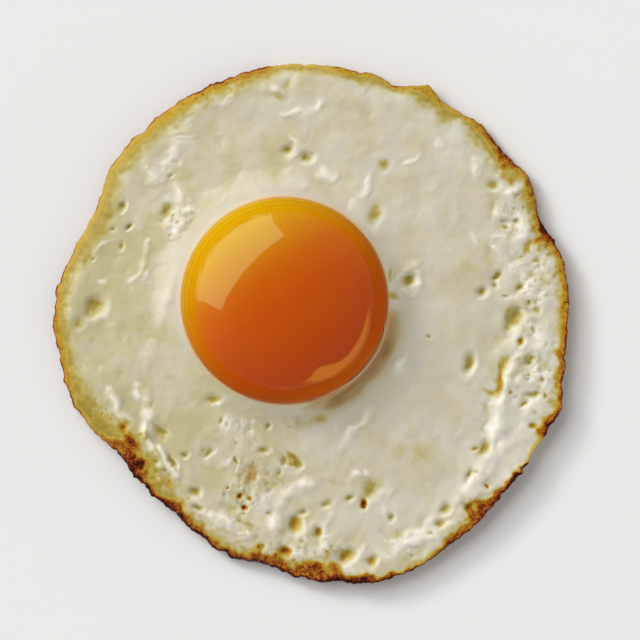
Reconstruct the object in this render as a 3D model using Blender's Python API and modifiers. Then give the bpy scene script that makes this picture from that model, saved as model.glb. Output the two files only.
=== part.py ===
"""A fried egg, sunny side up: a set white with a browned, lifted rim, and a soft yolk seated in it.

Metres, +Z up. The white's flat underside lies on Z = 0, and the origin is on it, below the middle
of the egg's outline. The white is one solid and the yolk is another, in the white's seat.
"""

import math

import bmesh
import bpy

MM = 0.001

# Driving dimensions
RIM_RADIUS = 52.8 * MM
YOLK_RADIUS = 21.0 * MM
YOLK_PLACE = (-5.6 * MM, 4.5 * MM)
YOLK_BOTTOM = 1.5 * MM
YOLK_BELLY = 6.3 * MM
YOLK_DOME = 8.2 * MM
SEAT_GAP = 0.3 * MM

# The white's thickness from the yolk out to the rim
LIP_HEIGHT = 7.8 * MM
MENISCUS_WIDTH = 2.6 * MM
INNER_THICKNESS = 4.3 * MM
OUTER_THICKNESS = 3.1 * MM
RIM_THICKNESS = 0.8 * MM
RIM_ROUNDING = 2.6 * MM
LIFTED_WIDTH = 11.0 * MM

# The outline's bulges and notches: direction and half width in degrees, then how far out
RIM_LOBES = (
    (3, 6, -0.4 * MM),
    (9, 8, 0.9 * MM),
    (24.5, 4, -1.3 * MM),
    (34, 4.5, 1.4 * MM),
    (50, 6, 1.0 * MM),
    (64, 2.8, 2.2 * MM),
    (70, 2.6, -1.1 * MM),
    (100, 13, 0.9 * MM),
    (118, 7, 0.4 * MM),
    (153, 8, -2.6 * MM),
    (163, 5, -1.0 * MM),
    (180, 6, 0.4 * MM),
    (213, 5, -1.1 * MM),
    (225, 22, -4.8 * MM),
    (228, 3, 0.7 * MM),
    (233, 3.5, -0.9 * MM),
    (243, 4, -0.7 * MM),
    (259, 7, -1.6 * MM),
    (289, 14, 2.5 * MM),
    (310, 6, 0.6 * MM),
    (328, 7, 0.3 * MM),
    (341, 5, 1.7 * MM),
)

# How high the rim's underside curls off the pan: direction and half width in degrees, then lift
RIM_LIFT = 0.6 * MM
RIM_CURLS = (
    (350, 40, 3.0 * MM),
    (318, 16, 1.5 * MM),
    (285, 22, 2.2 * MM),
    (225, 20, 1.6 * MM),
    (64, 8, 1.2 * MM),
)

# Puffed bands along the rim, each with a crease on its inner side: middle and half span in
# degrees, how far in from the rim the crease runs, the band's rise and the crease's depth
PUFFED_BANDS = (
    (348, 38, 13.5 * MM, 0.7 * MM, 0.6 * MM),
    (300, 20, 9.5 * MM, 0.6 * MM, 0.4 * MM),
    (255, 22, 10.5 * MM, 0.5 * MM, 0.5 * MM),
    (219, 17, 11.0 * MM, 0.9 * MM, 0.6 * MM),
)
CREASE_WIDTH = 1.7 * MM

# Gentle swells of the set white: wavelength, crest direction in degrees, height
SWELLS = (
    (23 * MM, 35, 0.13 * MM),
    (15 * MM, 110, 0.10 * MM),
    (11 * MM, 160, 0.06 * MM),
)

# Resolution
WHITE_SEGMENTS = 128
SEAT_RINGS = 5
TOP_RINGS = 19
UNDERSIDE_SHARES = (1.0, 0.93, 0.82, 0.5)
LIP_SHARE = 0.4
YOLK_SEGMENTS = 40
YOLK_RINGS = 20

YOLK_EQUATOR = YOLK_BOTTOM + YOLK_BELLY


def turn_between(angle, centre):
    """The angle from centre to angle, in degrees, from -180 to 180."""
    return (math.degrees(angle) - centre + 180) % 360 - 180


def bump(distance, half_width):
    """A smooth hill, 1 at distance 0, about a third at its half width."""
    return math.exp(-((distance / half_width) ** 2))


def smooth_step(value, low, high):
    """0 below low, 1 above high, and smooth between."""
    share = min(1.0, max(0.0, (value - low) / (high - low)))
    return share * share * (3 - 2 * share)


def around(angle, lobes):
    """The sum of lobes, each a bump in direction, at an angle in radians."""
    return sum(size * bump(turn_between(angle, middle), width) for middle, width, size in lobes)


def rim_point(angle):
    """The outline of the white, about the origin."""
    radius = RIM_RADIUS + around(angle, RIM_LOBES)
    return radius * math.cos(angle), radius * math.sin(angle)


def yolk_outline(angle):
    """The yolk's radius at its widest ring, which is very slightly uneven."""
    return YOLK_RADIUS * (1 + 0.008 * math.cos(2 * angle - 0.6) + 0.006 * math.cos(3 * angle + 0.8))


def seat_point(angle, share):
    """The white's seat under the yolk, from its lowest point at share 0 to the lip at share 1."""
    slope = share * math.pi / 2
    radius = (yolk_outline(angle) + SEAT_GAP) * math.sin(slope)
    height = YOLK_EQUATOR - (YOLK_BELLY + SEAT_GAP) * math.cos(slope)
    return (
        YOLK_PLACE[0] + radius * math.cos(angle),
        YOLK_PLACE[1] + radius * math.sin(angle),
        height,
    )


def swell(x, y):
    """The slow waves of the white's top."""
    total = 0.0
    for length, direction, height in SWELLS:
        turn = math.radians(direction)
        total += height * math.sin(2 * math.pi * (x * math.cos(turn) + y * math.sin(turn)) / length)
    return total


def puff(angle, from_rim):
    """The puffed bands and their creases, at a distance in from the rim."""
    total = 0.0
    for middle, span, inset, rise, depth in PUFFED_BANDS:
        held = bump(turn_between(angle, middle), span)
        crease = inset * (1 + 0.16 * math.sin(5 * angle + middle) + 0.08 * math.sin(13 * angle))
        outside = smooth_step(crease - from_rim, 0, 2.2 * CREASE_WIDTH)
        total += held * (rise * outside - depth * bump(from_rim - crease, CREASE_WIDTH))
    return total


def top_height(x, y, angle, from_yolk, from_rim):
    """The height of the white's upper face. The rim thins as its underside curls up, so the face stays level."""
    share = from_yolk / (from_yolk + from_rim)
    plain = INNER_THICKNESS + (OUTER_THICKNESS - INNER_THICKNESS) * smooth_step(share, 0.05, 0.95)
    meniscus = (LIP_HEIGHT - plain) * math.exp(-from_yolk / MENISCUS_WIDTH)
    away = smooth_step(from_yolk, 0, 4 * MENISCUS_WIDTH)
    body = plain + meniscus + away * (swell(x, y) + puff(angle, from_rim))
    thinnest = underside_height(angle, from_rim) + RIM_THICKNESS
    rounding = math.sqrt(min(1.0, from_rim / RIM_ROUNDING))
    return thinnest + max(body - thinnest, 0.0) * rounding


def underside_height(angle, from_rim):
    """The underside: flat, then curling up off the pan towards the rim."""
    curl = 1 - min(1.0, from_rim / LIFTED_WIDTH)
    return (RIM_LIFT + around(angle, RIM_CURLS)) * curl**2


def press(radius, angle, level):
    """Where a point of the plain disc goes. The disc has radius 1, and its faces are levels 0 and 1."""
    if radius <= LIP_SHARE:
        x, y, height = seat_point(angle, radius / LIP_SHARE)
        return x, y, height * level
    share = (radius - LIP_SHARE) / (1 - LIP_SHARE)
    lip_x, lip_y, _ = seat_point(angle, 1.0)
    rim_x, rim_y = rim_point(angle)
    span = math.hypot(rim_x - lip_x, rim_y - lip_y)
    x = lip_x + (rim_x - lip_x) * share
    y = lip_y + (rim_y - lip_y) * share
    low = underside_height(angle, span * (1 - share))
    high = top_height(x, y, angle, span * share, span * (1 - share))
    return x, y, low + (high - low) * level


def new_object(name, mesh, collection):
    made = bpy.data.objects.new(name, mesh)
    collection.objects.link(made)
    return made


def food_material(name, colour, roughness):
    """A plain Principled finish in the food's own colour."""
    made = bpy.data.materials.new(name)
    made.use_nodes = True
    shader = made.node_tree.nodes["Principled BSDF"]
    shader.inputs["Base Color"].default_value = (*colour, 1.0)
    shader.inputs["Roughness"].default_value = roughness
    shader.inputs["Metallic"].default_value = 0.0
    return made


def disc_profile():
    """The plain disc's outline from the middle of its top, out over the rim, to the middle below."""
    seat = [(LIP_SHARE * step / SEAT_RINGS, 1.0) for step in range(SEAT_RINGS + 1)]
    top = []
    for step in range(1, TOP_RINGS + 1):
        share = 1 - (1 - step / TOP_RINGS) ** 1.15
        top.append((LIP_SHARE + (1 - LIP_SHARE) * share, 1.0))
    underside = [(LIP_SHARE + (1 - LIP_SHARE) * share, 0.0) for share in UNDERSIDE_SHARES]
    return seat + top + underside + [(0.0, 0.0)]


def build_white(collection):
    """Turns a plain disc with a Screw modifier, then presses it into the white's form."""
    outline = bpy.data.meshes.new("white_profile")
    points = [(radius, 0.0, level) for radius, level in disc_profile()]
    outline.from_pydata(points, [(i, i + 1) for i in range(len(points) - 1)], [])
    turned = new_object("white_profile", outline, collection)
    screw = turned.modifiers.new("turn", "SCREW")
    screw.angle = math.radians(360)
    screw.steps = WHITE_SEGMENTS
    screw.render_steps = WHITE_SEGMENTS
    screw.use_merge_vertices = True
    screw.merge_threshold = 0.0001
    graph = bpy.context.evaluated_depsgraph_get()
    mesh = bpy.data.meshes.new_from_object(turned.evaluated_get(graph))
    bpy.data.objects.remove(turned)
    for vertex in mesh.vertices:
        x, y, level = vertex.co
        vertex.co = press(min(1.0, math.hypot(x, y)), math.atan2(y, x), level)
    mesh.name = "white"
    mesh.shade_smooth()
    white = new_object("white", mesh, collection)
    mesh.materials.append(food_material("set_egg_white", (0.72, 0.68, 0.52), 0.3))
    return white


def build_yolk(collection):
    """Presses a sphere into a yolk: a high dome above its widest ring and a flatter belly below."""
    mesh = bpy.data.meshes.new("yolk")
    ball = bmesh.new()
    bmesh.ops.create_uvsphere(ball, u_segments=YOLK_SEGMENTS, v_segments=YOLK_RINGS, radius=1.0)
    for vertex in ball.verts:
        x, y, level = vertex.co
        width = yolk_outline(math.atan2(y, x))
        vertex.co = (x * width, y * width, level * (YOLK_DOME if level > 0 else YOLK_BELLY))
    ball.to_mesh(mesh)
    ball.free()
    mesh.shade_smooth()
    yolk = new_object("yolk", mesh, collection)
    yolk.location = (*YOLK_PLACE, YOLK_EQUATOR)
    mesh.materials.append(food_material("soft_yolk", (0.66, 0.17, 0.01), 0.12))
    return yolk


def centre_on_outline(white, yolk):
    """Moves both pieces so that the origin is below the middle of the white's outline."""
    for axis in range(2):
        reach = [vertex.co[axis] for vertex in white.data.vertices]
        middle = (min(reach) + max(reach)) / 2
        for vertex in white.data.vertices:
            vertex.co[axis] -= middle
        yolk.location[axis] -= middle


def main():
    for old in list(bpy.data.objects):
        bpy.data.objects.remove(old, do_unlink=True)
    egg = bpy.data.collections.new("fried_egg")
    bpy.context.scene.collection.children.link(egg)
    white = build_white(egg)
    yolk = build_yolk(egg)
    centre_on_outline(white, yolk)


main()
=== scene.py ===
"""The looks of a fried egg, sunny side up: a wet, dimpled, set white with a browned lacy rim, and a
soft yolk under its skin, with the thin film of white that clings round it.

Metres, +Z up. The relief tables are in millimetres, x to the right and y to the back, from the
origin below the middle of the egg. Turns are in degrees, anticlockwise from +X.
"""

import math
from functools import partial

import bpy
import numpy as np
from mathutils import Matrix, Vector
from mathutils.bvhtree import BVHTree


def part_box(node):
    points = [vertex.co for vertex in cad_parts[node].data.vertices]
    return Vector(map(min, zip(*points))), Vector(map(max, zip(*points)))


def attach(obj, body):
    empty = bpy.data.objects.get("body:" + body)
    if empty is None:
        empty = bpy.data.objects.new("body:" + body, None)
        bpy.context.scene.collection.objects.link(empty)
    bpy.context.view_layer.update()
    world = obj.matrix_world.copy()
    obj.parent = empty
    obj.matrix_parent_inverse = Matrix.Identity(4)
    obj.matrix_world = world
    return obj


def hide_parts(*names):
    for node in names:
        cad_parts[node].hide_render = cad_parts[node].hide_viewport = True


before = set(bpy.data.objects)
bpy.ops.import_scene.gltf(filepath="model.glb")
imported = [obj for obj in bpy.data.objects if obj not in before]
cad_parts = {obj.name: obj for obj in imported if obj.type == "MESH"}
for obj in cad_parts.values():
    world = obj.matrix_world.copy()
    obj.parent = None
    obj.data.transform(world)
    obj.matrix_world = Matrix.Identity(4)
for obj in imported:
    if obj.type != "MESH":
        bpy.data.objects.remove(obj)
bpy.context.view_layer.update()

MM = 0.001
WHITE_LOW, WHITE_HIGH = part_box("white")
YOLK_LOW, YOLK_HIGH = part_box("yolk")
YOLK_CENTRE = (YOLK_LOW + YOLK_HIGH) / 2
YOLK_RADIUS = (YOLK_HIGH.x - YOLK_LOW.x) / 2
LIP_HEIGHT = WHITE_HIGH.z
DOWN = Vector((0, 0, -1))

# The lit side of the egg, and the two lights there, in metres and degrees
LIGHT_TURN = math.radians(139.5)
LIT_SIDE = Vector((math.cos(LIGHT_TURN), math.sin(LIGHT_TURN), 0))
SOFT_BOX_SIZE = (11.8, 8.2)
SOFT_BOX_DISTANCE = 6.73
SOFT_BOX_HEIGHT = 7.32
SOFT_BOX_LEAN = 22.7
SOFT_BOX_BRIGHTNESS = 2.5
LOW_WINDOW_LEAN = 26
LOW_WINDOW_WIDTH = 14
LOW_WINDOW_BRIGHTNESS = 1.25
FLOOR_SIZE = 16

# The camera, and its lens in millimetres
CAMERA_PLACE = (1.85 * MM, 0.72 * MM, 1.004)
CAMERA_LENS = 273.8

# How finely the pieces are drawn
SPOKES = 208
TOP_RINGS = 20
YOLK_SEGMENTS = 64
YOLK_RINGS = 32
SMOOTHING = 2
OUTLINE_SECTORS = 128
LATTICE = 256

# A Wave texture of scale 1 has this many waves in a unit
WAVES_AT_SCALE_ONE = 3.2

# The plain disc: where the yolk's lip lies, the steep ring just outside it, how much the rings
# crowd outwards, the last ring before the rim, and the rings below
LIP_SHARE = 0.4
STEEP_SHARE = 0.03
CROWDING = 0.22
LAST_SHARE = 0.992
UNDERSIDE_SHARES = (0.95, 0.6)

# How the disc meets the solid: how far the white reaches under the yolk's edge and climbs it, how
# far in the rim's heights are read, the two faces where there is no solid, and how much each ring
# is levelled
FILM_REACH = 0.1 * MM
FILM_CLIMB = 1.2 * MM
RIM_INSET = 0.25 * MM
RIM_FACES = (0.6 * MM, 1.5 * MM)
LEVELLING = 0.45
SAME_RING = 1e-4

# The ragged edge's noise runs round this circle, in mm
RAGGED_RADIUS = 52
FROTH_HOLES = 260

# The film's rolled edges: how thick, how far they sink in, and the share left at their tips
ROLL_RADIUS = 0.24 * MM
ROLL_SUNK = 0.06 * MM
ROLL_TIP = 0.3

# ------------------------ the set white's relief, in mm

# Holes left by steam: x, y, half length, half width, turn, depth, browning
STEAM_HOLES = (
    # left side
    (-44.5, 3.5, 2, 1.9, 0, 1.4, 0.16), (-38.8, 24, 1, 0.8, 60, 0.9, 0.1),
    (-37.5, 19.8, 0.8, 0.6, 45, 0.6, 0.08), (-40.7, 19.4, 0.5, 0.4, 60, 0.4, 0.05),
    (-39, 16, 0.8, 0.5, 80, 0.4, 0.02), (-44.7, 13.3, 0.5, 0.4, 0, 0.4, 0.1),
    (-47.8, 0.2, 1.6, 1, 35, 0.4, 0.1), (-29.6, 23, 1.6, 1, 55, 0.6, 0.12),
    # back
    (-4.9, 35.7, 1.3, 0.8, 30, 0.6, 0.05), (-0.8, 34.2, 1.3, 1, 0, 0.6, 0.03),
    (15, 32.6, 1.2, 1, 0, 0.2, 0), (13.1, 22.7, 2.2, 1.4, 70, 0.4, 0.1),
    # right side
    (37.4, 28.5, 1.2, 0.9, 0, 0.5, 0.1), (42.1, 21, 0.8, 0.7, 45, 0.6, 0.08),
    (40, 19.8, 0.7, 0.6, 0, 0.4, 0.05), (38.2, 9.8, 0.9, 0.5, 70, 0.7, 0.1),
    (38.1, 8, 0.8, 0.5, 80, 0.5, 0.1), (43.1, 7.5, 1.1, 0.5, 35, 0.7, 0.12),
    (39.9, 5.5, 0.8, 0.4, 0, 0.4, 0.05), (35.1, 6.5, 1.1, 1, 20, 1, 0.05),
    (45, 4.5, 0.8, 0.4, -60, 0.5, 0.05), (46.3, 2.8, 0.7, 0.6, -40, 0.6, 0.02),
    (41.5, 1.3, 2.3, 1.3, 60, 0.9, 0.12), (43.3, -4, 1, 0.7, 75, 1, 0.5),
    (45.6, -1.3, 0.7, 0.5, 90, 0.5, 0.02), (32.4, -8.3, 2.1, 1.1, 85, 1.4, 0.13),
    (44.9, -7.4, 1.3, 0.8, 60, 0.6, 0.05), (47.7, -11.5, 0.8, 0.7, 90, 0.8, 0.1),
    (46.2, 12.9, 0.9, 0.6, 0, 0.4, 0.2), (41, -14.1, 0.6, 0.5, 90, 0.6, 0.1),
    (45.4, -14.6, 1.7, 0.6, 0, 0.6, 0.1), (48.1, -15, 0.7, 0.6, -45, 0.6, 0.1),
    (43.8, -16.7, 1.1, 0.5, 40, 0.7, 0.1), (45.6, -21, 0.9, 0.7, 0, 0.7, 0.45),
    (33.7, -25.5, 0.9, 0.4, 35, 0.6, 0.4), (35.8, -25.5, 1.6, 1.1, 70, 0.5, 0.08),
    (32.3, -31.2, 1.7, 0.6, 70, 0.7, 0.1), (35.8, -33.4, 0.8, 0.5, -60, 0.7, 0.5),
    (24.2, -2.6, 0.5, 0.5, 45, 0.5, 0.1),
    # front
    (27.8, -38, 1.2, 0.9, 45, 0.9, 0.1), (32.3, -37.8, 0.9, 0.8, 0, 0.7, 0.1),
    (26.7, -41.1, 1.3, 0.7, 20, 1, 0.2), (24.6, -43.1, 0.6, 0.4, 0, 0.4, 0.05),
    (16.4, -39.9, 0.7, 0.7, 0, 0.7, 0.08), (12.2, -34, 2.5, 1.6, 50, 0.5, 0.03),
    (10.7, -36.9, 1, 0.6, 80, 1, 0.95), (8, -35.9, 1.2, 0.7, 30, 0.7, 0.08),
    (3.3, -36.9, 1.3, 0.7, 25, 0.7, 0.1), (-1.7, -38.9, 1, 0.6, 10, 0.8, 0.25),
    (-3.4, -41.3, 1.8, 1.4, 80, 1.7, 0.38), (1.5, -42.9, 1.2, 0.9, 80, 1.2, 0.46),
    (-1.7, -44.6, 0.6, 0.5, 0, 0.5, 0.08), (7.3, -47.6, 2, 1.6, 35, 1.7, 0.32),
    (12.5, -49.1, 1.4, 0.9, 70, 1.1, 0.35), (-5.5, -47, 1.2, 1, -10, 1, 0.6),
    (-10, -46, 0.8, 0.6, 90, 0.6, 0.4), (-8.6, -38.9, 0.8, 0.4, 10, 0.5, 0.15),
    # front left
    (-13.6, -37.8, 0.7, 0.5, 0, 0.8, 1), (-14.8, -35.4, 0.7, 0.6, 0, 0.8, 0.85),
    (-12.5, -35.9, 0.5, 0.4, 0, 0.6, 0.7), (-17.3, -33.7, 0.4, 0.3, 0, 0.5, 0.7),
    (-11.3, -32.2, 0.7, 0.4, 60, 0.5, 0.2), (-15.2, -28, 0.8, 0.5, 80, 0.7, 0.25),
    (-12.2, -29.6, 1.4, 0.9, 10, 0.6, 0.04), (-12.7, -31.7, 1.8, 1.4, 70, 0.4, 0.03),
    (-9.9, -26, 1.3, 0.7, 0, 0.8, 0.18), (-5.7, -28.3, 0.7, 0.7, 0, 0.5, 0.12),
    (-2.5, -29, 1, 0.8, 70, 0.6, 0.12), (-6.4, -30.7, 0.6, 0.5, 0, 0.4, 0.1),
    (-8.8, -20.9, 0.7, 0.6, 45, 0.7, 0.12), (-19.9, -15.5, 1.5, 1, 10, 0.8, 0.16),
    (-18.4, -20, 0.6, 0.5, 30, 0.5, 0.15), (-30, -22.1, 1, 0.4, -30, 0.6, 0.15),
    (-25.7, -27, 0.8, 0.7, 0, 0.7, 0.1), (-21, -26.6, 1.4, 0.6, 35, 0.6, 0.1),
    (-28.4, -28.5, 1.8, 0.4, -68, 0.7, 0.25), (-24, -34.7, 1.3, 1, -30, 0.8, 0.1),
    (-23.2, -37.8, 1.2, 0.7, -20, 0.8, 0.15), (-38.7, -21.4, 1, 0.8, 70, 0.6, 0.6),
    # beside the yolk
    (16.9, 5.6, 1, 0.9, 0, 0.8, 0.25), (20.1, 8.9, 1.2, 1.1, 0, 0.8, 0.15),
    (16.2, 9.8, 1.4, 0.5, 85, 0.6, 0.15),
)

# Opaque white clots, and glints painted white on small raised bumps where they catch the light (painted
# highlights), raised a little: x, y, half length, half width, turn, height, whiteness
CLOTS_AND_GLINTS = (
    # right side
    (34.3, 31.5, 2, 1, 75, 0.5, 1), (37, 33.8, 0.9, 0.7, 0, 0.3, 0.7), (41, 27, 1.8, 0.9, 25, 0.5, 1),
    (40.5, 22.6, 1.6, 0.8, 0, 0.2, 0.7), (43.2, 19.2, 2.9, 1.8, 50, 0.5, 1),
    (45.6, 21, 1.4, 1, 60, 0.3, 0.7), (39.4, 18, 1.1, 0.8, 40, 0.3, 0.9), (38.7, 14, 0.8, 0.8, 0, 0.3, 0.8),
    (42.5, 12, 1.6, 0.9, 40, 0.2, 0.4), (48.8, 11, 2, 0.9, 20, 0.2, 0.7), (44.8, 7, 2.4, 1.8, 60, 0.5, 1),
    (47.7, 5.5, 2.2, 1.4, 90, 0.3, 0.6), (46, 0, 1.5, 0.9, 50, 0.2, 0.5),
    (47.6, -3.2, 3, 1.5, 85, 0.4, 0.9), (42.4, -3, 1.5, 0.5, 50, 0.2, 0.7),
    (46.4, -11, 2.8, 1.2, 10, 0.4, 1), (43, -11.6, 2, 1.2, 60, 0.3, 0.7),
    (41.4, -15.8, 1.8, 1.1, 0, 0.2, 0.7), (46, -17.6, 2.2, 1, 30, 0.3, 0.7),
    (38.1, -22.6, 4, 0.9, 80, 0.5, 1), (36.6, -29.8, 1.9, 1, 60, 0.3, 0.9),
    (33.2, -33, 3, 1.2, 62, 0.4, 0.9), (30.4, -37, 1.5, 1, 40, 0.2, 0.6), (43, -24, 5, 3, 75, 0.6, 0.3),
    (33.3, 18, 0.8, 0.6, 0, 0.2, 0.6), (26.8, 36.8, 1, 0.6, 60, 0.3, 0.9),
    (19.6, 34, 2.2, 0.6, 35, 0.3, 0.8), (29.6, 39.8, 2.9, 1.4, 70, 0.2, 0.3),
    # front
    (20.5, -44.9, 4.6, 1.8, 15, 0.6, 1), (24.2, -41, 1.8, 1, 30, 0.2, 0.8),
    (28.6, -41.6, 1.6, 0.9, 40, 0.2, 0.6), (15.6, -48, 1.7, 0.9, 10, 0.2, 0.7),
    (11, -46.8, 1.6, 0.6, 40, 0.3, 0.9), (7.6, -51, 3, 0.6, 5, 0.2, 0.9),
    (2.6, -46.2, 2.2, 1.2, 30, 0.3, 0.8), (-2.6, -47, 2.3, 1.4, 0, 0.3, 0.7),
    (3.6, -42.4, 2.6, 0.9, 80, 0.3, 0.9), (-0.4, -42.4, 1.9, 0.7, 60, 0.2, 0.8),
    (3.4, -38.8, 1.2, 0.7, 10, 0.2, 0.7), (8.8, -31.5, 1.2, 0.6, 35, 0.4, 1),
    (11.4, -30.3, 1, 0.7, 70, 0.3, 1), (15.2, -38, 1.3, 0.7, 80, 0.2, 0.8),
    (16.5, -35, 1.1, 0.5, 20, 0.2, 0.7), (-10.6, -36.6, 3.2, 2.2, 20, 0.4, 0.9),
    (-11.8, -23.2, 1.1, 0.8, 90, 0.2, 0.7), (-12.5, -20.6, 1.6, 0.8, 0, 0.2, 0.6),
    # left side
    (-17.2, -20.6, 1.8, 1.5, 0, 0.3, 0.8), (-17, -28.5, 1.9, 0.7, 35, 0.3, 0.9),
    (-18.8, -16.6, 0.9, 0.4, 20, 0.2, 0.9), (-17.2, -41.4, 3, 1.1, -12, 0.4, 0.8),
    (-14, -43.4, 1.6, 0.6, -35, 0.2, 0.7), (-22.4, -36.4, 2.6, 0.8, -20, 0.2, 0.6),
    (-21, -39.6, 1.8, 0.7, -20, 0.2, 0.6), (-27.6, 19.6, 2.4, 1.6, 20, 0.4, 1),
    (-25.4, 22.6, 2.2, 0.9, 20, 0.2, 0.8), (-29.2, 34.6, 6.2, 2.2, 47, 0.1, 0.75),
    (-25.3, 41.4, 1.6, 0.45, 30, 0.15, 0.8), (-26.8, 39.6, 2.4, 0.55, 26, 0.18, 0.9),
    (-26.4, 37.9, 3, 0.45, 14, 0.15, 0.8), (-27.6, 36.2, 3.2, 0.6, 20, 0.18, 1),
    (-29.6, 34.4, 2.8, 0.65, 24, 0.18, 1), (-30.9, 32.4, 2.6, 0.6, 28, 0.18, 1),
    (-32.4, 30.3, 1.8, 0.5, 38, 0.15, 0.9), (9.2, -21.6, 4.8, 0.8, 47, 0.5, 1),
    (-31.6, 29.8, 1.9, 0.6, 35, 0.2, 0.7), (-27.1, 26.8, 1.7, 0.6, 105, 0.2, 0.7),
    (-34.2, 10.4, 2, 0.5, 40, 0.2, 0.7), (-42.7, 8.8, 0.9, 0.4, 20, 0.2, 0.7),
    (-50, 1.5, 1, 0.7, 90, 0.2, 0.6), (-42.6, 16.4, 1.6, 0.3, 30, 0.2, 0.7),
    # back
    (-2.8, 43.4, 2, 0.7, 5, 0.3, 0.9), (0.9, 44.3, 1.8, 0.8, 50, 0.4, 1), (3.2, 30.9, 1.8, 1, -20, 0.5, 1),
    (-2.4, 28.2, 2.2, 1.5, 30, 0.4, 0.9), (-3, 37.3, 1.5, 0.4, -25, 0.2, 0.8),
    (-3.2, 34.8, 1.3, 0.4, 15, 0.2, 0.7), (11.2, 27.8, 2.3, 0.8, 50, 0.4, 1),
    (8.5, 24.3, 0.9, 0.8, 0, 0.3, 0.9), (-17.5, 46.3, 3, 0.6, 25, 0.2, 0.7),
    (-18, 25.8, 1.5, 0.4, 35, 0.2, 0.8), (-7.3, 48, 1.3, 0.9, 80, 0.4, 0.5),
    (11.5, 48.9, 1.5, 0.4, 15, 0.2, 0.6),
    # beside the yolk
    (18.4, -7.9, 2.3, 0.8, 72, 0.7, 1), (16.7, -0.8, 2.2, 0.9, 80, 0.3, 0.6),
    (18.6, 11, 2.2, 0.6, 40, 0.3, 0.6), (22.2, 6.8, 0.9, 0.6, 30, 0.3, 0.9),
    (21.2, 12.2, 1.3, 0.4, 40, 0.2, 0.7), (5.4, -21.9, 0.8, 0.4, 10, 0.2, 0.6),
)

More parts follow.
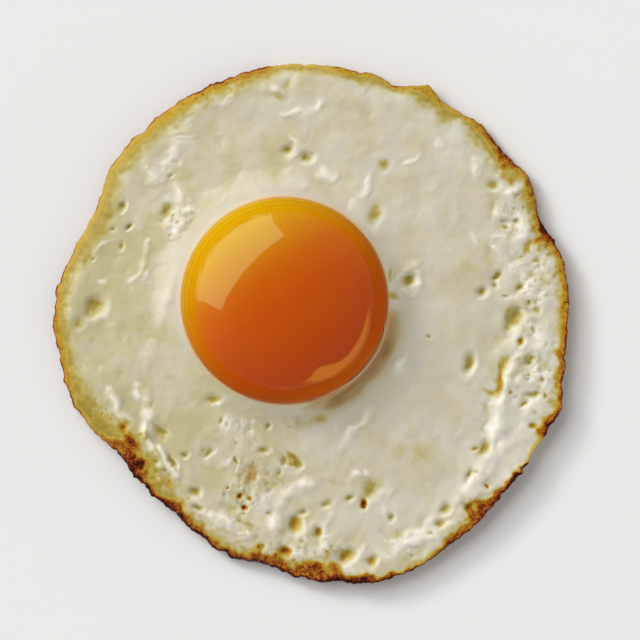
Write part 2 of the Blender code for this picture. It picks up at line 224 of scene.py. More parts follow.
# Hollows where the white is thin over the oil: x, y, half length, half width, turn, depth, thinness, browning
OIL_HOLLOWS = (
    # right side
    (38, 32.3, 1.2, 1, 0, 0.2, 0.6, 0), (41.3, 29.8, 1.3, 1, 0, 0.2, 0.9, 0.3),
    (43.5, 26.3, 1.3, 1.1, 0, 0.2, 0.9, 0.15), (37.3, 24.2, 2, 1, 90, 0.3, 0.5, 0),
    (45.3, 16.4, 2.4, 0.9, 32, 0.4, 1, 0.22), (47.9, 18.4, 1.3, 1, 45, 0, 1, 0.75),
    (42.4, 14.3, 2.5, 1.1, 0, 0.3, 0.5, 0), (36.6, 14, 3.5, 1.2, 90, 0.2, 0.4, 0),
    (46.6, 12.8, 1.3, 0.8, 0, 0.2, 0.8, 0.12), (38.4, 9.2, 2.2, 0.8, 70, 0.3, 0.7, 0.05),
    (48.2, 8.6, 1.3, 1, 0, 0.1, 0.5, 0), (41.6, 0.6, 3.6, 1.6, 65, 0.6, 0.8, 0.1),
    (39.2, -3.2, 1.8, 1.2, 60, 0.2, 0.4, 0), (44.8, -7.4, 1.6, 0.9, 85, 0.3, 0.6, 0),
    (42.4, -9.6, 2, 0.8, 50, 0.2, 0.4, 0), (39.4, -8.4, 2.1, 1.2, 75, 0.5, 0.9, 0.25),
    (38.7, -11.8, 2.6, 0.8, 66, 0.6, 1, 0.5), (36.7, -14.3, 1.4, 0.7, 0, 0.3, 0.9, 0.12),
    (36, -17.2, 2, 0.9, 85, 0.2, 0.5, 0), (36.4, -9, 4.5, 1.3, 85, 0, 0.35, 0),
    (45.6, -14.8, 2.5, 0.6, 0, 0.2, 0.6, 0), (35.8, -25.8, 1.8, 1.2, 45, 0.4, 0.85, 0),
    (36.4, -21, 2.5, 0.6, 80, 0.3, 0.5, 0), (32.5, -30.8, 1.7, 0.6, 78, 0.4, 0.9, 0),
    (32.4, -37.8, 1.5, 1.2, 0, 0.2, 0.8, 0.12), (31.6, 11, 3, 2, 90, 0, 0.25, 0),
    (22.6, -27.4, 3.6, 2.2, 70, 0, 0.45, 0), (18.3, -25.8, 1.8, 1.4, 0, 0, 0.35, 0),
    (21, -22.5, 2, 1.6, 0, 0, 0.25, 0), (27.6, -10.5, 4, 2, 0, 0, 0.15, 0),
    # front
    (22.4, -40.2, 1.3, 1, 0, 0.1, 0.4, 0), (17.4, -43, 2.6, 0.9, 25, 0.4, 0.6, 0),
    (19.6, -48.2, 2.2, 0.9, 10, 0.1, 0.5, 0.05), (9.4, -44.7, 2.6, 0.7, 0, 0.1, 0.35, 0),
    (12.5, -33.5, 2.2, 1.2, 20, 0.3, 0.6, 0), (5, -32.4, 2.6, 0.9, 0, 0.1, 0.4, 0),
    (-4.2, -28.3, 1.9, 0.9, -15, 0.3, 1, 0.08), (-6.6, -31.6, 1.9, 1.1, -20, 0.2, 0.55, 0.08),
    (-7.6, -33.3, 1.5, 0.7, 20, 0.1, 0.6, 0.1), (-12.8, -31.8, 2, 1.5, 70, 0.2, 0.1, 0.03),
    (-12.2, -29.6, 1.5, 0.8, 10, 0.3, 0.2, 0.03), (-14.4, -29.4, 2.8, 0.4, 50, 0.2, 0.5, 0.1),
    (-5.6, -42.6, 1.8, 0.7, 85, 0.2, 0.5, 0), (-13.4, -40.8, 2.4, 0.8, -30, 0.3, 0.7, 0),
    (-16.4, -38.4, 2.2, 1, -20, 0.3, 0.5, 0), (0.8, -50.3, 1.8, 1, 0, 0, 1, 0.8),
    (4, -50.6, 1.4, 1.2, 90, 0, 1, 0.6), (-5.6, -47.1, 1.3, 1, -10, 0.3, 1, 0.65),
    # left side
    (-29.3, -33.4, 2.2, 1.9, -40, 0.1, 0.9, 0.22), (-32.9, -29.6, 2.6, 1.3, -60, 0.1, 0.9, 0.25),
    (-31.4, -22.1, 2.2, 1.2, -35, 0.4, 0.85, 0), (-33.4, -17.2, 1.8, 0.7, -75, 0.3, 0.5, 0),
    (-28.5, -28.4, 2.3, 0.5, -68, 0.4, 0.8, 0.1), (-21.9, -26.7, 1.7, 0.6, 40, 0.3, 0.6, 0),
    (-19.6, -23.6, 1.7, 1.4, 0, 0, 0.35, 0), (-35, -12.7, 3.2, 0.7, 8, 0.1, 0.4, 0),
    (-38.5, -21.8, 1.7, 1.2, -75, 0.2, 1, 0.55), (-37, -25, 2.4, 1.5, -60, 0, 1, 0.78),
    (-35.4, -29.3, 2.4, 1.5, -65, 0, 1, 0.95), (-44.4, -16.5, 1.9, 0.8, -50, 0.1, 0.8, 0.1),
    (-42.4, -19.3, 2.5, 1.4, -40, 0.1, 0.6, 0.18), (-39, -5, 2.9, 1.8, 0, 0, 0.25, 0),
    (-24.5, -19.8, 2.5, 1.6, 0, 0, 0.25, 0), (-43.2, 19.2, 3, 1.2, 64, 0.2, 1, 0.12),
    (-46, 13.6, 2, 1, 40, 0.1, 0.8, 0.05), (-49.2, 10, 2.6, 0.9, 68, 0.1, 0.7, 0),
    (-40.4, 27, 4, 0.8, 70, 0.1, 0.6, 0), (-29.8, 22.6, 2.2, 1.1, 45, 0.3, 0.55, 0.05),
    # back
    (-7.6, 46.5, 2.2, 0.9, 0, 0.3, 0.6, 0), (-4.8, 48.8, 2.2, 1, 70, 0.3, 0.65, 0),
    (-5, 35.6, 1.9, 0.8, 25, 0.3, 0.6, 0), (-0.8, 34.2, 1.5, 1, 0, 0.3, 0.5, 0),
    (-6, 32.4, 1.4, 1, 0, 0.1, 0.3, 0), (13, 22.6, 2, 1.6, 70, 0.2, 0.35, 0),
    (12.4, 48, 2.2, 0.8, 0, 0.1, 0.3, 0), (12, 43, 1.3, 0.8, 20, 0.1, 0.3, 0),
    (27.9, 41.6, 1.3, 1, 60, 0.1, 0.6, 0.05),
    # beside the yolk
    (20.3, 9, 1.5, 1.4, 0, 0.5, 0.7, 0.05), (17, 5.6, 1.1, 0.8, 0, 0.3, 0.8, 0.2),
    (16.2, 9.8, 1.6, 0.5, 85, 0.2, 0.7, 0.1), (1.5, -19.6, 2.6, 1.1, 20, 0.1, 0.7, 0.12),
    (-2.5, -20.2, 2.6, 1.3, 0, 0.1, 0.5, 0), (6, -17, 3, 1.3, 40, 0, 0.3, 0),
    (12.6, -11.2, 3.4, 1.2, 55, 0, 0.3, 0), (16.4, -3.8, 3, 1, 75, 0, 0.3, 0),
)

# A faint scorch that shows through in front: x, y, half length, half width, turn
SCORCH = (-12.3, -31.0, 2.6, 1.6, 75)

# Raised folds: their line, half width, height
FOLDS = (
    (((-35.5, -13.6), (-33.8, -16.6), (-33.2, -19.4), (-33.9, -22.7)), 1.2, 1),
    (((-41.3, -14), (-39.9, -16.5), (-39.5, -18.6), (-37.4, -20.5)), 1, 0.8),
    (((-34.1, -22.7), (-32.6, -25.6), (-31.2, -28.8)), 0.8, 0.8),
    (((-31, -25.4), (-29.4, -28.7), (-27.4, -31.6)), 0.7, 0.8),
    (((-20.3, -39.4), (-17.3, -40.2), (-14.5, -41.6), (-12.8, -43.4)), 0.9, 0.6),
    (((0, -33), (-3, -34.2), (-5.8, -36.2), (-7.2, -39.4), (-7, -42)), 1.1, 0.8),
    (((17, -44), (19.6, -43.1), (22.6, -43.2), (25.6, -44.2)), 0.8, 0.6),
    (((39.5, -17.8), (38.6, -20), (38.4, -22.8), (38.6, -26)), 2.2, 0.7),
    (((42.9, -7), (40.9, -9.8), (39.5, -13.2), (39, -16.2)), 0.9, 0.7),
    (((34.8, -29.8), (33.8, -32.2), (32.6, -35.2)), 1.4, 0.5),
    (((-36.9, 8.6), (-35, 10.4), (-33.9, 14), (-33.4, 17)), 0.6, 0.35),
    (((-30.9, 1), (-29.6, 5), (-27.6, 10), (-24.6, 15.6)), 1.6, 0.5),
    (((18.7, 6.9), (21.2, 6.2), (22.4, 8), (22, 10.6)), 0.5, 0.5),
)

# Rolled edges of the thin film that clings to the yolk's far side
FILM_EDGES = (
    (
        (15.1, 0.5), (15.2, -3), (13.6, -5.9), (11.6, -8.7),
        (9.3, -11.1), (6.5, -12.9), (3.2, -14.6), (-0.2, -15.9),
    ),
    ((6.6, -13.2), (4.4, -15), (1.9, -17), (-0.2, -17.4), (-2.3, -17.4)),
)

# Frothy patches: x, y, half length, half width, turn, share
FROTHY_PATCHES = (
    (45.4, 7, 9.5, 4.6, 85, 1), (45.6, -9.6, 7.5, 4.6, 88, 0.9), (42.3, 22.3, 6.5, 3.6, 75, 0.9),
    (-15.6, -42.4, 5.3, 2, -20, 0.8), (20.8, -45.9, 5.3, 2.2, 15, 0.8), (-12.5, -34.2, 6, 5, 45, 0.9),
    (-14.6, -21.9, 5, 4, 0, 0.6), (-26.5, 21, 3.8, 2.6, 25, 1), (-29.5, 32.5, 5, 3, 35, 0.4),
    (-31, -31.4, 4.5, 2.6, -55, 0.8), (-42.3, -18.2, 3.5, 2.4, -40, 0.7), (33.7, -36.3, 6, 3, 45, 0.6),
    (1.8, -46, 11, 4, 0, 0.7), (-2.3, -20.4, 3.2, 1.6, 0, 0.6), (-5.5, -31, 5, 3, 0, 0.4),
)

# The rim, all round: direction, the dark edge's width and browning, the fried band's width and
# browning, and how far in the white is thin and olive
FRIED_RIM = (
    (0, 0.9, 0.62, 1.7, 0.42, 2), (8, 0.7, 0.62, 1.6, 0.42, 2.2), (16, 0.8, 0.7, 1.4, 0.45, 2.2),
    (19, 1.2, 0.95, 1.9, 0.62, 4.2), (22.5, 1.3, 1, 1.8, 0.7, 3), (24, 0.7, 0.85, 1.2, 0.5, 1.8),
    (27, 0.6, 0.75, 1.3, 0.42, 2), (31, 1.3, 0.6, 2.6, 0.45, 3.5), (34, 0.8, 0.7, 1.3, 0.42, 2),
    (36.5, 1, 0.6, 1.8, 0.42, 3.5), (39, 2, 0.68, 2.8, 0.55, 3.5), (43, 1.2, 0.68, 1.7, 0.45, 3.4),
    (50, 1, 0.62, 1.5, 0.4, 3.4), (54, 0.4, 0.5, 0.9, 0.32, 1.2), (57, 0.4, 0.5, 1.2, 0.3, 4),
    (60, 0.6, 0.55, 1.3, 0.35, 2), (64, 0.8, 0.5, 2.4, 0.38, 4.5), (67, 0.5, 0.55, 1.2, 0.38, 2),
    (70, 0.4, 0.65, 0.6, 0.35, 1.4), (77, 0.5, 0.6, 1, 0.35, 2.7), (84, 0.6, 0.66, 1.2, 0.38, 2),
    (88, 0.3, 0.45, 1, 0.18, 1.7), (97, 0.3, 0.32, 1, 0.12, 1.7), (100, 0.8, 0.76, 1.5, 0.42, 3),
    (106, 0.7, 0.76, 1.7, 0.42, 3.2), (113, 0.8, 0.78, 1.8, 0.4, 3), (120, 0.6, 0.66, 2.2, 0.36, 3.2),
    (130, 0.5, 0.64, 2, 0.3, 3.2), (140, 0.45, 0.68, 1.8, 0.2, 3.2), (148, 0.4, 0.72, 1.4, 0.18, 3.2),
    (156, 0.25, 0.7, 1.3, 0.18, 4), (162, 0.3, 0.8, 1.3, 0.25, 3), (170, 0.5, 0.9, 1.2, 0.32, 2.4),
    (178, 0.6, 0.82, 1.4, 0.42, 2.8), (186, 0.6, 0.72, 1.8, 0.38, 3), (192, 0.6, 0.74, 1.5, 0.38, 3),
    (198, 0.5, 0.84, 1, 0.34, 4.2), (205, 0.4, 0.86, 0.9, 0.34, 4.8), (209, 0.4, 0.9, 1.2, 0.4, 5),
    (213, 0.8, 0.85, 3.5, 0.55, 4.8), (217, 1.2, 0.9, 3, 0.7, 4.8), (220, 1.8, 0.95, 2.4, 0.7, 4.6),
    (224, 1.3, 1, 1.9, 0.52, 4.5), (230, 1.2, 1, 1.7, 0.5, 3.8), (236, 1.3, 0.98, 1.8, 0.6, 2.5),
    (242, 1.1, 0.97, 1.6, 0.52, 2.8), (248, 1.2, 0.97, 1.8, 0.55, 2.6), (256, 1.2, 0.95, 2, 0.57, 3),
    (260, 1.2, 0.88, 3, 0.55, 3.5), (265, 1, 0.92, 1.8, 0.55, 2.4), (270, 1.3, 0.88, 3.4, 0.58, 3.8),
    (274, 1.4, 0.88, 3.2, 0.6, 3.4), (275, 1.4, 0.98, 1.8, 0.65, 2), (283, 1.4, 0.98, 1.7, 0.62, 1.8),
    (289, 0.8, 0.92, 1, 0.55, 1.3), (296, 0.5, 0.92, 0.6, 0.5, 1), (300, 0.6, 0.85, 0.9, 0.45, 1.2),
    (302, 1.2, 0.85, 1.8, 0.55, 2.2), (307, 0.8, 0.85, 1.7, 0.48, 2.2), (310, 1.2, 0.7, 2.5, 0.58, 2.8),
    (313, 2, 0.72, 3.2, 0.62, 3.6), (316, 1.1, 0.98, 1.4, 0.6, 1.6), (322, 1.1, 1, 1.2, 0.65, 1.4),
    (327, 0.6, 1, 0.8, 0.6, 1), (328, 0.15, 0.4, 0.4, 0.25, 0.8), (333, 0.15, 0.4, 0.5, 0.25, 1),
    (334.5, 1.3, 1, 1.8, 0.6, 2.2), (338, 1.1, 0.95, 2.2, 0.55, 2.6), (342, 0.8, 0.85, 1.4, 0.5, 1.8),
    (348, 0.8, 0.78, 1.6, 0.45, 1.7), (354, 1, 0.72, 1.8, 0.45, 1.8),
)


# ------------------------ modelling helpers


def deselect():
    """Nothing selected, in object mode, so that the next operator acts only on what it is meant for."""
    if bpy.context.object and bpy.context.object.mode != "OBJECT":
        bpy.ops.object.mode_set(mode="OBJECT")
    bpy.ops.object.select_all(action="DESELECT")


def select_only(piece):
    deselect()
    piece.select_set(True)
    bpy.context.view_layer.objects.active = piece


def smooth_surface(piece):
    """Rounds the piece with a subdivision surface, applied to its mesh."""
    select_only(piece)
    rounding = piece.modifiers.new("rounding", "SUBSURF")
    rounding.levels = rounding.render_levels = SMOOTHING
    bpy.ops.object.modifier_apply(modifier=rounding.name)


def settle(piece):
    """Puts the piece's place into its mesh and shades it smooth."""
    select_only(piece)
    bpy.ops.object.transform_apply(location=True, rotation=True, scale=True)
    bpy.ops.object.shade_smooth()


def read_points(mesh, what="co"):
    """The mesh's points, or what else each point has, such as its normal, in rows of three."""
    rows = np.empty(len(mesh.vertices) * 3, np.float32)
    mesh.vertices.foreach_get(what, rows)
    return rows.reshape(-1, 3).astype(float)


def write_points(mesh, points):
    mesh.vertices.foreach_set("co", points.astype(np.float32).ravel())
    mesh.update()


def write_values(mesh, **columns):
    """Keeps named numbers for each point of the mesh, for the materials to read."""
    for name, values in columns.items():
        attribute = mesh.attributes.new(name, "FLOAT", "POINT")
        attribute.data.foreach_set("value", values.astype(np.float32))


def surface_of(mesh):
    """The mesh as a surface that a ray can hit."""
    return BVHTree.FromPolygons([v.co for v in mesh.vertices], [p.vertices for p in mesh.polygons])


def hill(distance):
    """A smooth hill, 1 at distance 0 and about a third at distance 1."""
    return np.exp(-(distance**2))


def smooth_step(value, low, high):
    """0 at low, 1 at high, and smooth between."""
    share = np.clip((value - low) / (high - low), 0, 1)
    return share * share * (3 - 2 * share)


def oval_distance(x, y, place):
    """How far each point is from an oval's middle, 1 on the oval: (x, y, half length, half width, turn)."""
    middle_x, middle_y, length, width, turn = place
    across, along = x - middle_x, y - middle_y
    cosine, sine = math.cos(math.radians(turn)), math.sin(math.radians(turn))
    return np.hypot((across * cosine + along * sine) / length, (along * cosine - across * sine) / width)


def line_distance(x, y, line):
    """How far each point is from a line of straight stretches."""
    nearest = np.full(len(x), np.inf)
    for (start_x, start_y), (end_x, end_y) in zip(line, line[1:]):
        run_x, run_y = end_x - start_x, end_y - start_y
        share = ((x - start_x) * run_x + (y - start_y) * run_y) / (run_x**2 + run_y**2)
        share = np.clip(share, 0, 1)
        nearest = np.minimum(nearest, np.hypot(x - start_x - share * run_x, y - start_y - share * run_y))
    return nearest


def lumpiness(x, y, size, seed):
    """Smooth seeded noise, about -1 to 1, with lumps of the given size, over x and y."""
    slopes = np.random.default_rng(seed).normal(size=(LATTICE, LATTICE, 2))
    across, along = x / size, y / size
    column, row = np.floor(across).astype(int), np.floor(along).astype(int)
    across, along = across - column, along - row
    total = np.zeros(len(x))
    for step_x in (0, 1):
        for step_y in (0, 1):
            slope = slopes[(column + step_x) % LATTICE, (row + step_y) % LATTICE]
            from_x, from_y = across - step_x, along - step_y
            weight = (1 - smooth_step(abs(from_x), 0, 1)) * (1 - smooth_step(abs(from_y), 0, 1))
            total += weight * (slope[:, 0] * from_x + slope[:, 1] * from_y)
    return total


# ------------------------ the white


def white_outline():
    """The white's outline, read from its solid: the radius at each direction from the origin."""
    points = read_points(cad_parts["white"].data) / MM
    direction = np.degrees(np.arctan2(points[:, 1], points[:, 0])) % 360
    radius = np.hypot(points[:, 0], points[:, 1])
    sector = np.round(direction / 360 * OUTLINE_SECTORS).astype(int) % OUTLINE_SECTORS
    sectors = [np.flatnonzero(sector == s) for s in range(OUTLINE_SECTORS)]
    outermost = [members[np.argmax(radius[members])] for members in sectors]
    order = np.argsort(direction[outermost])
    return direction[outermost][order], radius[outermost][order]


OUTLINE_DIRECTION, OUTLINE_RADIUS = white_outline()


def outline_radius(direction):
    """The radius of the white's outline, in mm, at directions in degrees."""
    return np.interp(direction % 360, OUTLINE_DIRECTION, OUTLINE_RADIUS, period=360)


def plain_disc():
    """A plain disc: a ring of points extruded outwards over the top, then back below to the middle."""
    deselect()
    bpy.ops.mesh.primitive_circle_add(vertices=SPOKES, radius=LIP_SHARE / 2, location=(0, 0, 1))
    disc = bpy.context.object
    disc.name = "set_egg_white"
    radius = LIP_SHARE / 2
    top = [LIP_SHARE * 0.9, LIP_SHARE, LIP_SHARE + STEEP_SHARE * (1 - LIP_SHARE)]
    for step in range(1, TOP_RINGS):
        share = step / TOP_RINGS
        top.append(LIP_SHARE + (1 - LIP_SHARE) * (share + CROWDING * share * (1 - share)))
    top.append(LAST_SHARE)
    rings = [(radius, 1.0) for radius in top] + [(1.0, 0.5), (LAST_SHARE, 0.0)]
    rings += [(LIP_SHARE + (1 - LIP_SHARE) * share, 0.0) for share in UNDERSIDE_SHARES]
    bpy.ops.object.mode_set(mode="EDIT")
    bpy.ops.mesh.select_all(action="SELECT")
    level = 1.0
    for next_radius, next_level in rings:
        bpy.ops.mesh.extrude_edges_move()
        growth = next_radius / radius
        bpy.ops.transform.resize(value=(growth, growth, 1), center_override=(0, 0, 0))
        bpy.ops.transform.translate(value=(0, 0, next_level - level))
        radius, level = next_radius, next_level
    bpy.ops.mesh.edge_face_add()
    bpy.ops.mesh.inset(thickness=radius * 0.6)
    bpy.ops.mesh.poke()
    close_seat(disc)
    return disc


def close_seat(disc):
    """Closes the hole that is left in the middle of the top, under the yolk."""
    bpy.ops.mesh.select_all(action="DESELECT")
    bpy.ops.mesh.select_non_manifold(extend=False)
    bpy.ops.mesh.edge_face_add()
    bpy.ops.mesh.poke()
    bpy.ops.mesh.select_all(action="SELECT")
    bpy.ops.mesh.normals_make_consistent(inside=False)
    bpy.ops.object.mode_set(mode="OBJECT")
    settle(disc)


def press_to_egg(disc):
    """Presses the plain disc to the white's solid: round the yolk's lip, out to its outline, and
    as high as its two faces."""
    surface = surface_of(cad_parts["white"].data)
    points = read_points(disc.data)
    plain = np.hypot(points[:, 0], points[:, 1])
    turn = np.arctan2(points[:, 1], points[:, 0])
    share = np.clip((plain - LIP_SHARE) / (1 - LIP_SHARE), 0, 1)
    lip = (YOLK_RADIUS - FILM_REACH) * np.minimum(plain / LIP_SHARE, 1)
    lip_x = YOLK_CENTRE.x + lip * np.cos(turn)
    lip_y = YOLK_CENTRE.y + lip * np.sin(turn)
    rim = outline_radius(np.degrees(turn)) * MM
    x = lip_x + (rim * np.cos(turn) - lip_x) * share
    y = lip_y + (rim * np.sin(turn) - lip_y) * share
    inset = np.where(share > 0.97, 1 - RIM_INSET / rim, 1.0)
    heights = np.zeros((len(points), 2))
    for i in range(len(points)):
        above = Vector((x[i] * inset[i], y[i] * inset[i], 1))
        below = Vector((x[i] * inset[i], y[i] * inset[i], -1))
        high, low = surface.ray_cast(above, DOWN)[0], surface.ray_cast(below, -DOWN)[0]
        heights[i] = (low.z, high.z) if high else RIM_FACES
    level = LEVELLING * smooth_step(share, 0.05, 0.2) * smooth_step(1 - share, 0.08, 0.2)
    for ring in np.unique(np.round(plain, 4)):
        on_ring = np.abs(plain - ring) < SAME_RING
        heights[on_ring, 1] += level[on_ring] * (heights[on_ring, 1].mean() - heights[on_ring, 1])
    heights[np.abs(plain - LIP_SHARE) < SAME_RING, 1] = LIP_HEIGHT + FILM_CLIMB
    height = heights[:, 0] + (heights[:, 1] - heights[:, 0]) * points[:, 2]
    write_points(disc.data, np.c_[x, y, height])


def rim_values(direction):
    """The fried rim's five values at directions in degrees."""
    turns, *columns = np.array(FRIED_RIM).T
    return [np.interp(direction, turns, column, period=360) for column in columns]


def roughen_outline(points, direction, from_rim):
    """The ragged edge: more ragged where it is browner."""
    _, edge_browning, *_ = rim_values(direction)
    along, across = np.cos(np.radians(direction)), np.sin(np.radians(direction))
    around_x, around_y = RAGGED_RADIUS * along, RAGGED_RADIUS * across
    offset = 0.40 * lumpiness(around_x, around_y, 3.6, 1) + 0.34 * lumpiness(around_x, around_y, 1.6, 2)
    offset += 0.22 * lumpiness(around_x, around_y, 0.8, 3)
    offset *= (0.3 + 0.9 * edge_browning) * hill(from_rim / 1.6)
    points[:, 0] += offset * along
    points[:, 1] += offset * across


def fry_rim(x, y, direction, from_rim):
    """How browned and how thin the white is near its rim."""
    edge_width, edge_browning, band_width, band_browning, olive_width = rim_values(direction)
    ragged = 0.25 + 0.75 * smooth_step(band_browning, 0.36, 0.55)
    uneven = np.exp(ragged * (0.6 * lumpiness(x, y, 2.4, 9) + 0.45 * lumpiness(x, y, 1.1, 10)))
    edge = edge_browning * np.exp(-((from_rim / (edge_width * uneven)) ** 3))
    band = band_browning * (1 - smooth_step(from_rim / (band_width * uneven), 0.65, 1.45))
    grain = 0.30 * lumpiness(x, y, 0.8, 13) + 0.25 * lumpiness(x, y, 1.8, 15)
    browning = np.maximum(edge, band)
    olive = 0.95 * (1 - smooth_step(from_rim / (olive_width * uneven), 0.3, 1.9))
    return browning * np.clip(1 + grain, 0.4, 1.3), olive


def froth_holes(x, y, frothy):
    """Small seeded holes, where the white is frothy: the relief and how thin it is there."""
    drawn = np.random.default_rng(7)
    relief, thin = np.zeros(len(x)), np.zeros(len(x))
    spots = np.flatnonzero(frothy > 0.25)
    for _ in range(FROTH_HOLES):
        pick = spots[drawn.integers(len(spots))]
        keep, size = drawn.random(), 0.3 + 0.55 * drawn.random() ** 2
        stretch, turn = 0.6 + 0.7 * drawn.random(), 180 * drawn.random()
        depth = 0.15 + 0.3 * drawn.random()
        if keep > frothy[pick]:
            continue
        near = np.flatnonzero((abs(x - x[pick]) < 3 * size) & (abs(y - y[pick]) < 3 * size))
        distance = oval_distance(x[near], y[near], (x[pick], y[pick], size, size * stretch, turn))
        hole = np.exp(-(distance**2.4))
        relief[near] -= depth * hole
        thin[near] = np.maximum(thin[near], (0.10 + 0.45 * keep) * hole)
    return relief, thin


def wander(x, y, size, reach, seed):
    """The same points, each moved by a smooth noise, so that ovals there turn out uneven."""
    return x + reach * lumpiness(x, y, size, seed), y + reach * lumpiness(x, y, size, seed + 1)


def facing_light(across, along):
    """1 where a direction points at the soft box, and -1 where it points away."""
    reach = across * math.cos(LIGHT_TURN) + along * math.sin(LIGHT_TURN)
    return reach / np.maximum(np.hypot(across, along), 1e-6)


def shape_relief(plain_x, plain_y, from_rim, from_yolk):
    """The top's relief in mm, and how browned, thin, whitened and frothy the white is at each point; the
    whitening is partly real clots and partly painted highlights.
    """
    x, y = wander(*wander(plain_x, plain_y, 3.2, 0.45, 20), 1.3, 0.25, 22)
    far_x, far_y = wander(*wander(plain_x, plain_y, 4.0, 1.4, 24), 1.5, 0.7, 26)
    brown, frothy = np.zeros(len(x)), np.zeros(len(x))
    for *place, share in FROTHY_PATCHES:
        frothy = np.maximum(frothy, share * hill(oval_distance(far_x, far_y, place)))
    relief = 0.25 * lumpiness(x, y, 8, 4) + 0.16 * lumpiness(x, y, 3.4, 5)
    relief += 0.05 * lumpiness(x, y, 1.6, 6)
    curd = 0.9 * lumpiness(x, y, 3.6, 7) + 0.8 * lumpiness(x, y, 1.9, 8)
    curd += 0.4 * lumpiness(x, y, 0.9, 16)
    relief += frothy * 0.45 * curd
    clots_and_glints = 0.35 * frothy * smooth_step(curd, -0.2, 0.7)
    thin = frothy * 0.75 * smooth_step(-curd, 0.0, 0.6)
    for *place, height, whiteness in CLOTS_AND_GLINTS:
        whitened_bump = hill(oval_distance(far_x, far_y, place))
        relief += 0.8 * height * whitened_bump
        clots_and_glints = np.maximum(clots_and_glints, whiteness * whitened_bump)
        thin *= 1 - 0.8 * whiteness * whitened_bump
    broken = 0.55 + 0.45 * smooth_step(lumpiness(plain_x, plain_y, 2.2, 30), -0.45, 0.2)
    for line, width, height in FOLDS:
        fold = hill(line_distance(x, y, line) / width) * broken
        relief += 0.7 * height * fold
        clots_and_glints = np.maximum(clots_and_glints, min(1.0, 1.2 * height) * fold)
    for *place, depth, thinness, browning in OIL_HOLLOWS:
        hollow = hill(oval_distance(far_x, far_y, place))
        relief -= depth * hollow
        thin = np.maximum(thin, thinness * hollow)
        brown = np.maximum(brown, browning * hollow)
    for *place, depth, browning in STEAM_HOLES:
        from_middle = oval_distance(x, y, place)
        hole = np.exp(-(from_middle**2.6))
        facing = facing_light(x - place[0], y - place[1])
        # Painted highlight: the raised lip on each hole's side away from the light catches the light, and is
        # painted whiter.
        lip = hill((from_middle - 1.45) / 0.4) * smooth_step(facing, 0.2, -0.9)
        relief += 0.12 * depth * lip - 0.85 * depth * hole
        clots_and_glints = np.maximum(clots_and_glints, 0.45 * lip)
        thin = np.maximum(thin * (1 - 0.6 * lip), 0.8 * hole)
        brown = np.maximum(brown, browning * hole**1.5)
    holes, holes_thin = froth_holes(x, y, frothy)
    calm = smooth_step(from_yolk, 0.3, 2.5) * smooth_step(from_rim, 0.1, 1.5)
    thin = np.maximum(thin, holes_thin)
    clots_and_glints *= 0.35 + 0.65 * smooth_step(from_rim, 0.8, 4.5)
    return (relief + holes) * calm, thin, brown, clots_and_glints, frothy


def make_white():
    white = plain_disc()
    press_to_egg(white)
    smooth_surface(white)
    points = read_points(white.data) / MM
    direction = np.degrees(np.arctan2(points[:, 1], points[:, 0])) % 360
    from_rim = np.maximum(outline_radius(direction) - np.hypot(points[:, 0], points[:, 1]), 0)
    facing_up = smooth_step(read_points(white.data, "normal")[:, 2], -0.2, 0.3)
    roughen_outline(points, direction, from_rim)
    x, y = points[:, 0], points[:, 1]
    from_yolk = np.hypot(x - YOLK_CENTRE.x / MM, y - YOLK_CENTRE.y / MM) - YOLK_RADIUS / MM
    relief, thin, brown, clots_and_glints, frothy = shape_relief(x, y, from_rim, from_yolk)
    rim_brown, rim_thin = fry_rim(x, y, direction, from_rim)
    crisp = smooth_step(rim_brown, 0.1, 0.5)
    relief += crisp * (0.25 * lumpiness(x, y, 1.3, 11) + 0.20 * lumpiness(x, y, 0.7, 12))
    points[:, 2] += relief * facing_up
    underside = (1 - facing_up) * smooth_step(from_rim, 0.5, 2.5)
    brown = np.maximum(brown, rim_brown)
    brown = brown * (1 - underside) + underside * (0.5 + 0.3 * lumpiness(x, y, 5, 14))
    points[:, 2] = np.maximum(points[:, 2], WHITE_LOW.z / MM)
    write_points(white.data, points * MM)
    facing = facing_light(x - YOLK_CENTRE.x / MM, y - YOLK_CENTRE.y / MM)
    far_side = smooth_step(-facing, 0.7, 1.0)
    # Painted shadow: a brown band on the white beyond the yolk, on its side away from the light, stands for
    # the yolk's shadow warmed by its orange light; the scorch in front is real.
    stain = far_side * hill(np.maximum(from_yolk - 0.9, 0) / 2.4)
    stain *= 0.95 + 0.45 * lumpiness(x, y, 3.6, 32)
    stain += 0.55 * hill(oval_distance(x, y, SCORCH))
    # Painted shade: on the side facing the light, the white that climbs the yolk is painted duller and
    # darker, toning down that lit slope.
    film = smooth_step(facing, -0.2, 0.6) * hill(np.maximum(from_yolk - 0.5, 0) / 2.6)
    write_values(
        white.data,
        browning=brown,
        thinness=np.maximum(thin, rim_thin) * facing_up,
        whiteness=clots_and_glints * facing_up,
        frothiness=frothy * facing_up,
        film=film,
        stain=np.clip(stain, 0, 1) * facing_up,
        # The yolk's orange painted into the white's very edge round it, partly its colour through the thin
        # white and partly a painted glow of its light, wider on the side away from the light
        amber=hill(np.maximum(from_yolk, 0) / (0.45 + 0.45 * far_side)),
    )
    white.data.materials.append(egg_white_set_in_oil())
    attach(white, "root")
    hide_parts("white")
    return white


# ------------------------ the yolk


def make_yolk():
    """A ball drawn out to the solid's box: a high dome above its widest ring, a flat belly below."""
    deselect()
    widest = LIP_HEIGHT
    bpy.ops.mesh.primitive_uv_sphere_add(
        segments=YOLK_SEGMENTS,
        ring_count=YOLK_RINGS,
        radius=YOLK_RADIUS,
        location=(YOLK_CENTRE.x, YOLK_CENTRE.y, widest),
    )
    yolk = bpy.context.object
    yolk.name = "soft_yolk"
    bpy.ops.object.transform_apply(location=True, rotation=False, scale=False)
    points = read_points(yolk.data)
    up = points[:, 2] > widest
    height = points[:, 2] - widest
    points[:, 2] = widest + height * np.where(up, YOLK_HIGH.z - widest, widest - YOLK_LOW.z) / YOLK_RADIUS
    write_points(yolk.data, points)
    smooth_surface(yolk)
    settle(yolk)
    yolk.data.materials.append(soft_yolk_under_skin())
    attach(yolk, "root")
    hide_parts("yolk")
    return yolk


